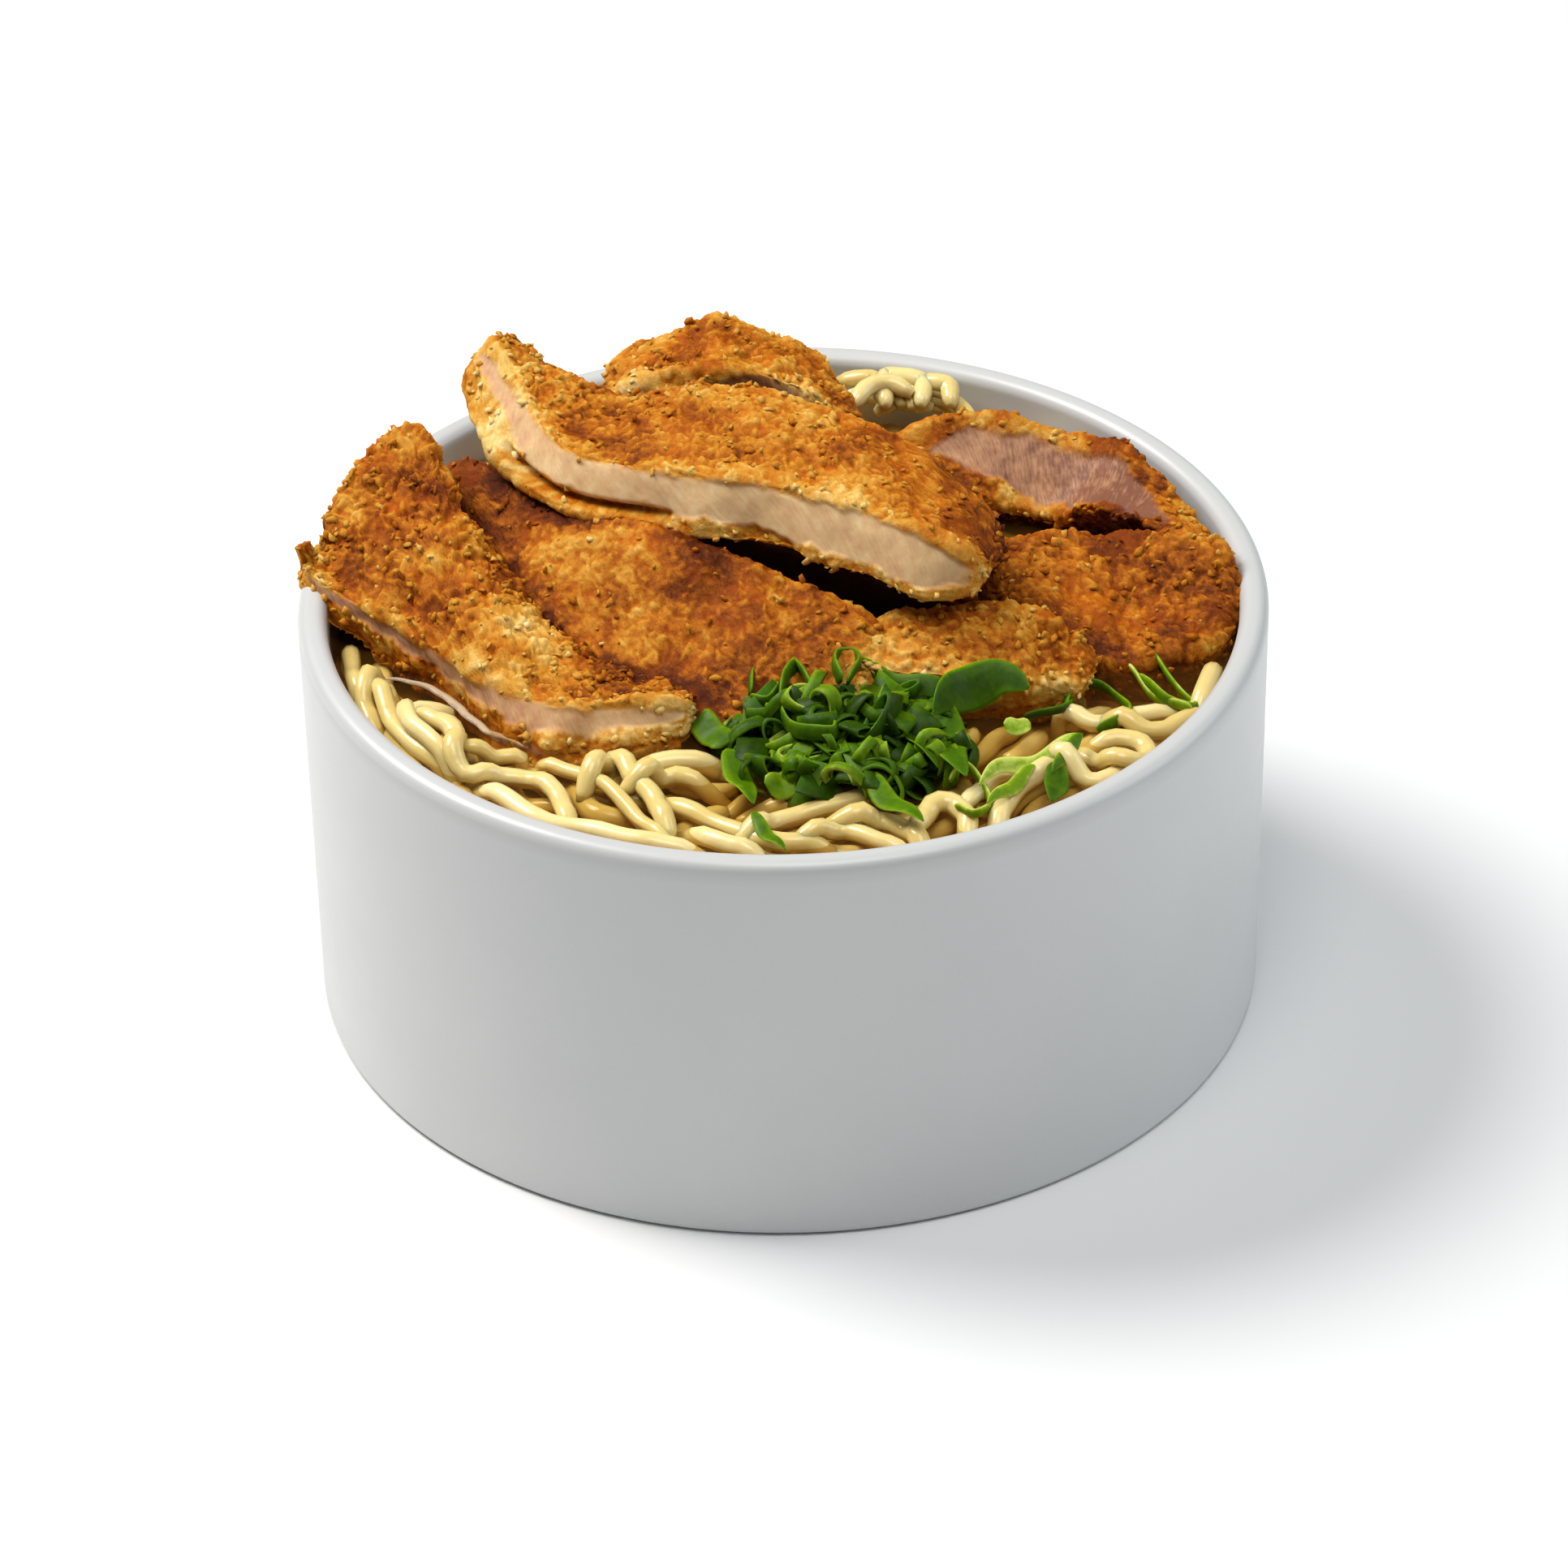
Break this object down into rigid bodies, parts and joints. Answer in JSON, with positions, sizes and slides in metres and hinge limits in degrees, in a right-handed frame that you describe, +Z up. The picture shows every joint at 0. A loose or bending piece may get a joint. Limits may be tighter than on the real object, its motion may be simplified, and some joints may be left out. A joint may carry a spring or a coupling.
{
  "type": "bowl of chicken katsu saimin",
  "caption": "Straight-sided white bowl of noodles in clear broth, with slices of crumbed fried chicken cutlet stacked on top and a heap of sliced spring onion.",
  "frame": {"origin": "centre of the bowl's foot, on the surface it stands on", "axes": "+Z up the bowl's axis; -Y is the serving side, with the spring onion; the stacked slices run from the back left to the front right"},
  "size_m": [0.168, 0.168, 0.1002],
  "materials": {
    "bowl_glaze": "satin white glaze",
    "broth": "clear amber broth",
    "noodle": "wet pale yellow",
    "scallion": "fresh green",
    "crust": "golden-brown breadcrumb crust"
  },
  "bodies": {
    "root": {"bowl": "bowl_glaze", "broth": "broth", "noodles": "noodle", "scallions": "scallion", "katsu_top": "crust", "katsu_left": "crust", "katsu_front": "crust", "katsu_front_end": "crust", "katsu_back": "crust", "katsu_right_back": "crust", "katsu_right": "crust"}
  },
  "joints": []
}
